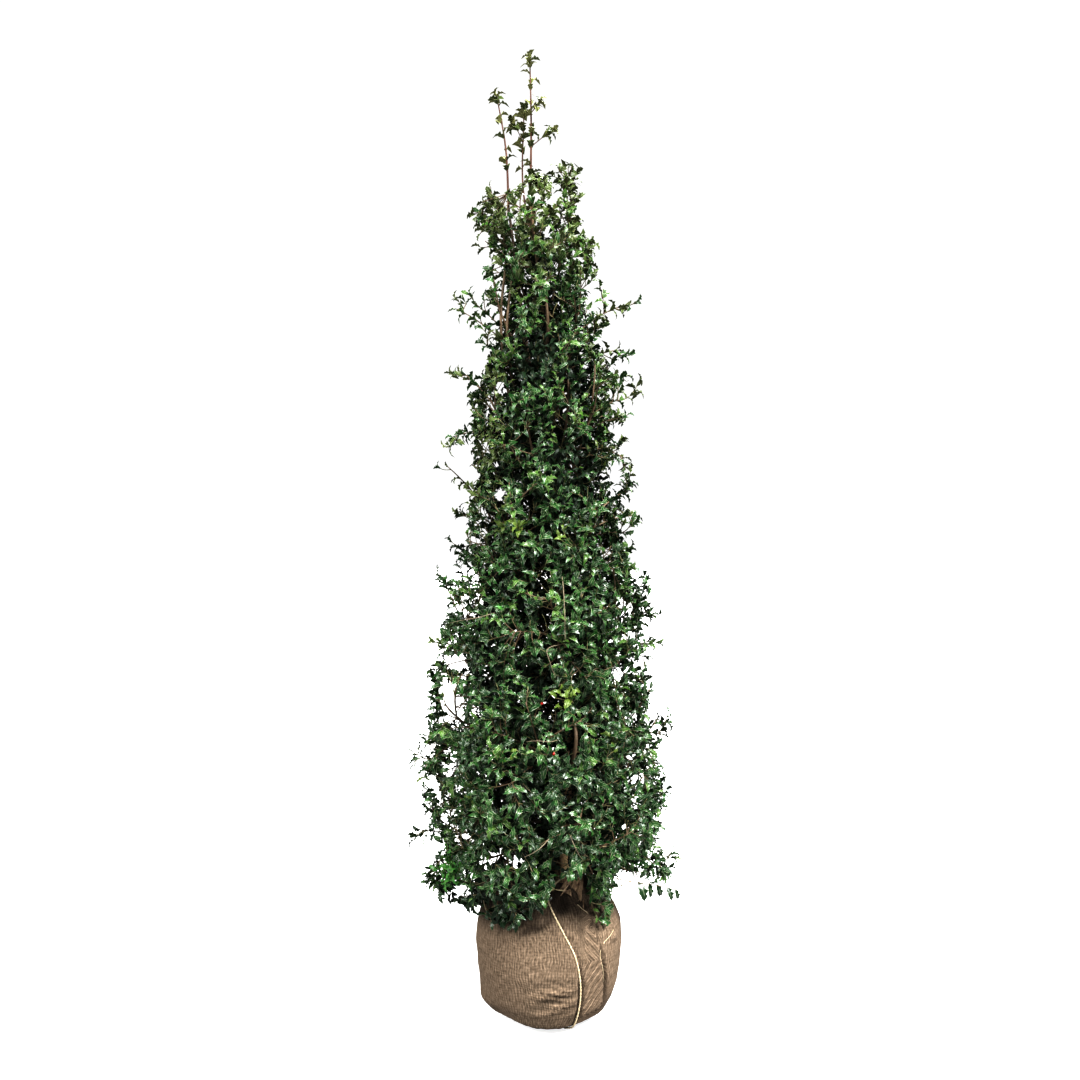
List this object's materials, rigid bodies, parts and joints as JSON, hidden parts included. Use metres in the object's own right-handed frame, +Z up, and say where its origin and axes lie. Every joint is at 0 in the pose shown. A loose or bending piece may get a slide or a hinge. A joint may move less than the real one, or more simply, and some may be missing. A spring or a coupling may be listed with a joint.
{
  "type": "root-balled holly tree",
  "caption": "Narrow columnar holly with glossy spiny leaves and upright leading shoots, on a burlap-wrapped root ball tied with twine.",
  "frame": {"origin": "middle of the flat underside of the root ball, which stands on the ground", "axes": "+Z up along the plant, -Y towards the side that the picture shows, +X to its right"},
  "size_m": [0.772, 0.6867, 2.8346],
  "materials": {
    "wrapped_soil": "coarse brown burlap, pulled tight in pleats over moist soil",
    "burlap": "coarse brown burlap, gathered",
    "twine": "pale twisted jute",
    "bark": "grey-brown bark, browner and smoother on young wood",
    "foliage": "glossy dark green leaves with spiny edges",
    "young_foliage": "satin yellow-green leaves on reddish shoots"
  },
  "bodies": {
    "root": {"root_ball": "wrapped_soil", "burlap_collar": "burlap", "ball_twine": "twine", "trunk": "bark", "upright_stem_left": "bark", "upright_stem_right": "bark", "bough_foot_a": "bark", "bough_foot_b": "bark", "bough_foot_c": "bark", "bough_foot_d": "bark", "bough_foot_e": "bark", "bough_lower_a": "bark", "bough_lower_b": "bark", "bough_lower_c": "bark", "bough_lower_d": "bark", "bough_lower_e": "bark", "bough_waist_a": "bark", "bough_waist_b": "bark", "bough_waist_c": "bark", "bough_waist_d": "bark", "bough_middle_a": "bark", "bough_middle_b": "bark", "bough_middle_c": "bark", "bough_middle_d": "bark", "bough_shoulder_a": "bark", "bough_shoulder_b": "bark", "bough_shoulder_c": "bark", "foliage_foot_a": "foliage", "foliage_foot_b": "foliage", "foliage_foot_c": "foliage", "foliage_foot_d": "foliage", "foliage_foot_e": "foliage", "foliage_lower_a": "foliage", "foliage_lower_b": "foliage", "foliage_lower_c": "foliage", "foliage_lower_d": "foliage", "foliage_lower_e": "foliage", "foliage_waist_a": "foliage", "foliage_waist_b": "foliage", "foliage_waist_c": "foliage", "foliage_waist_d": "foliage", "foliage_middle_a": "foliage", "foliage_middle_b": "foliage", "foliage_middle_c": "foliage", "foliage_middle_d": "foliage", "foliage_shoulder_a": "foliage", "foliage_shoulder_b": "foliage", "foliage_shoulder_c": "foliage", "foliage_upper_a": "foliage", "foliage_upper_b": "foliage", "foliage_upper_c": "foliage", "foliage_neck_a": "foliage", "foliage_neck_b": "foliage", "foliage_neck_c": "foliage", "leading_shoot": "young_foliage", "leading_shoot_left": "young_foliage", "leading_shoot_rear": "young_foliage", "leading_shoot_right": "young_foliage"}
  },
  "joints": []
}
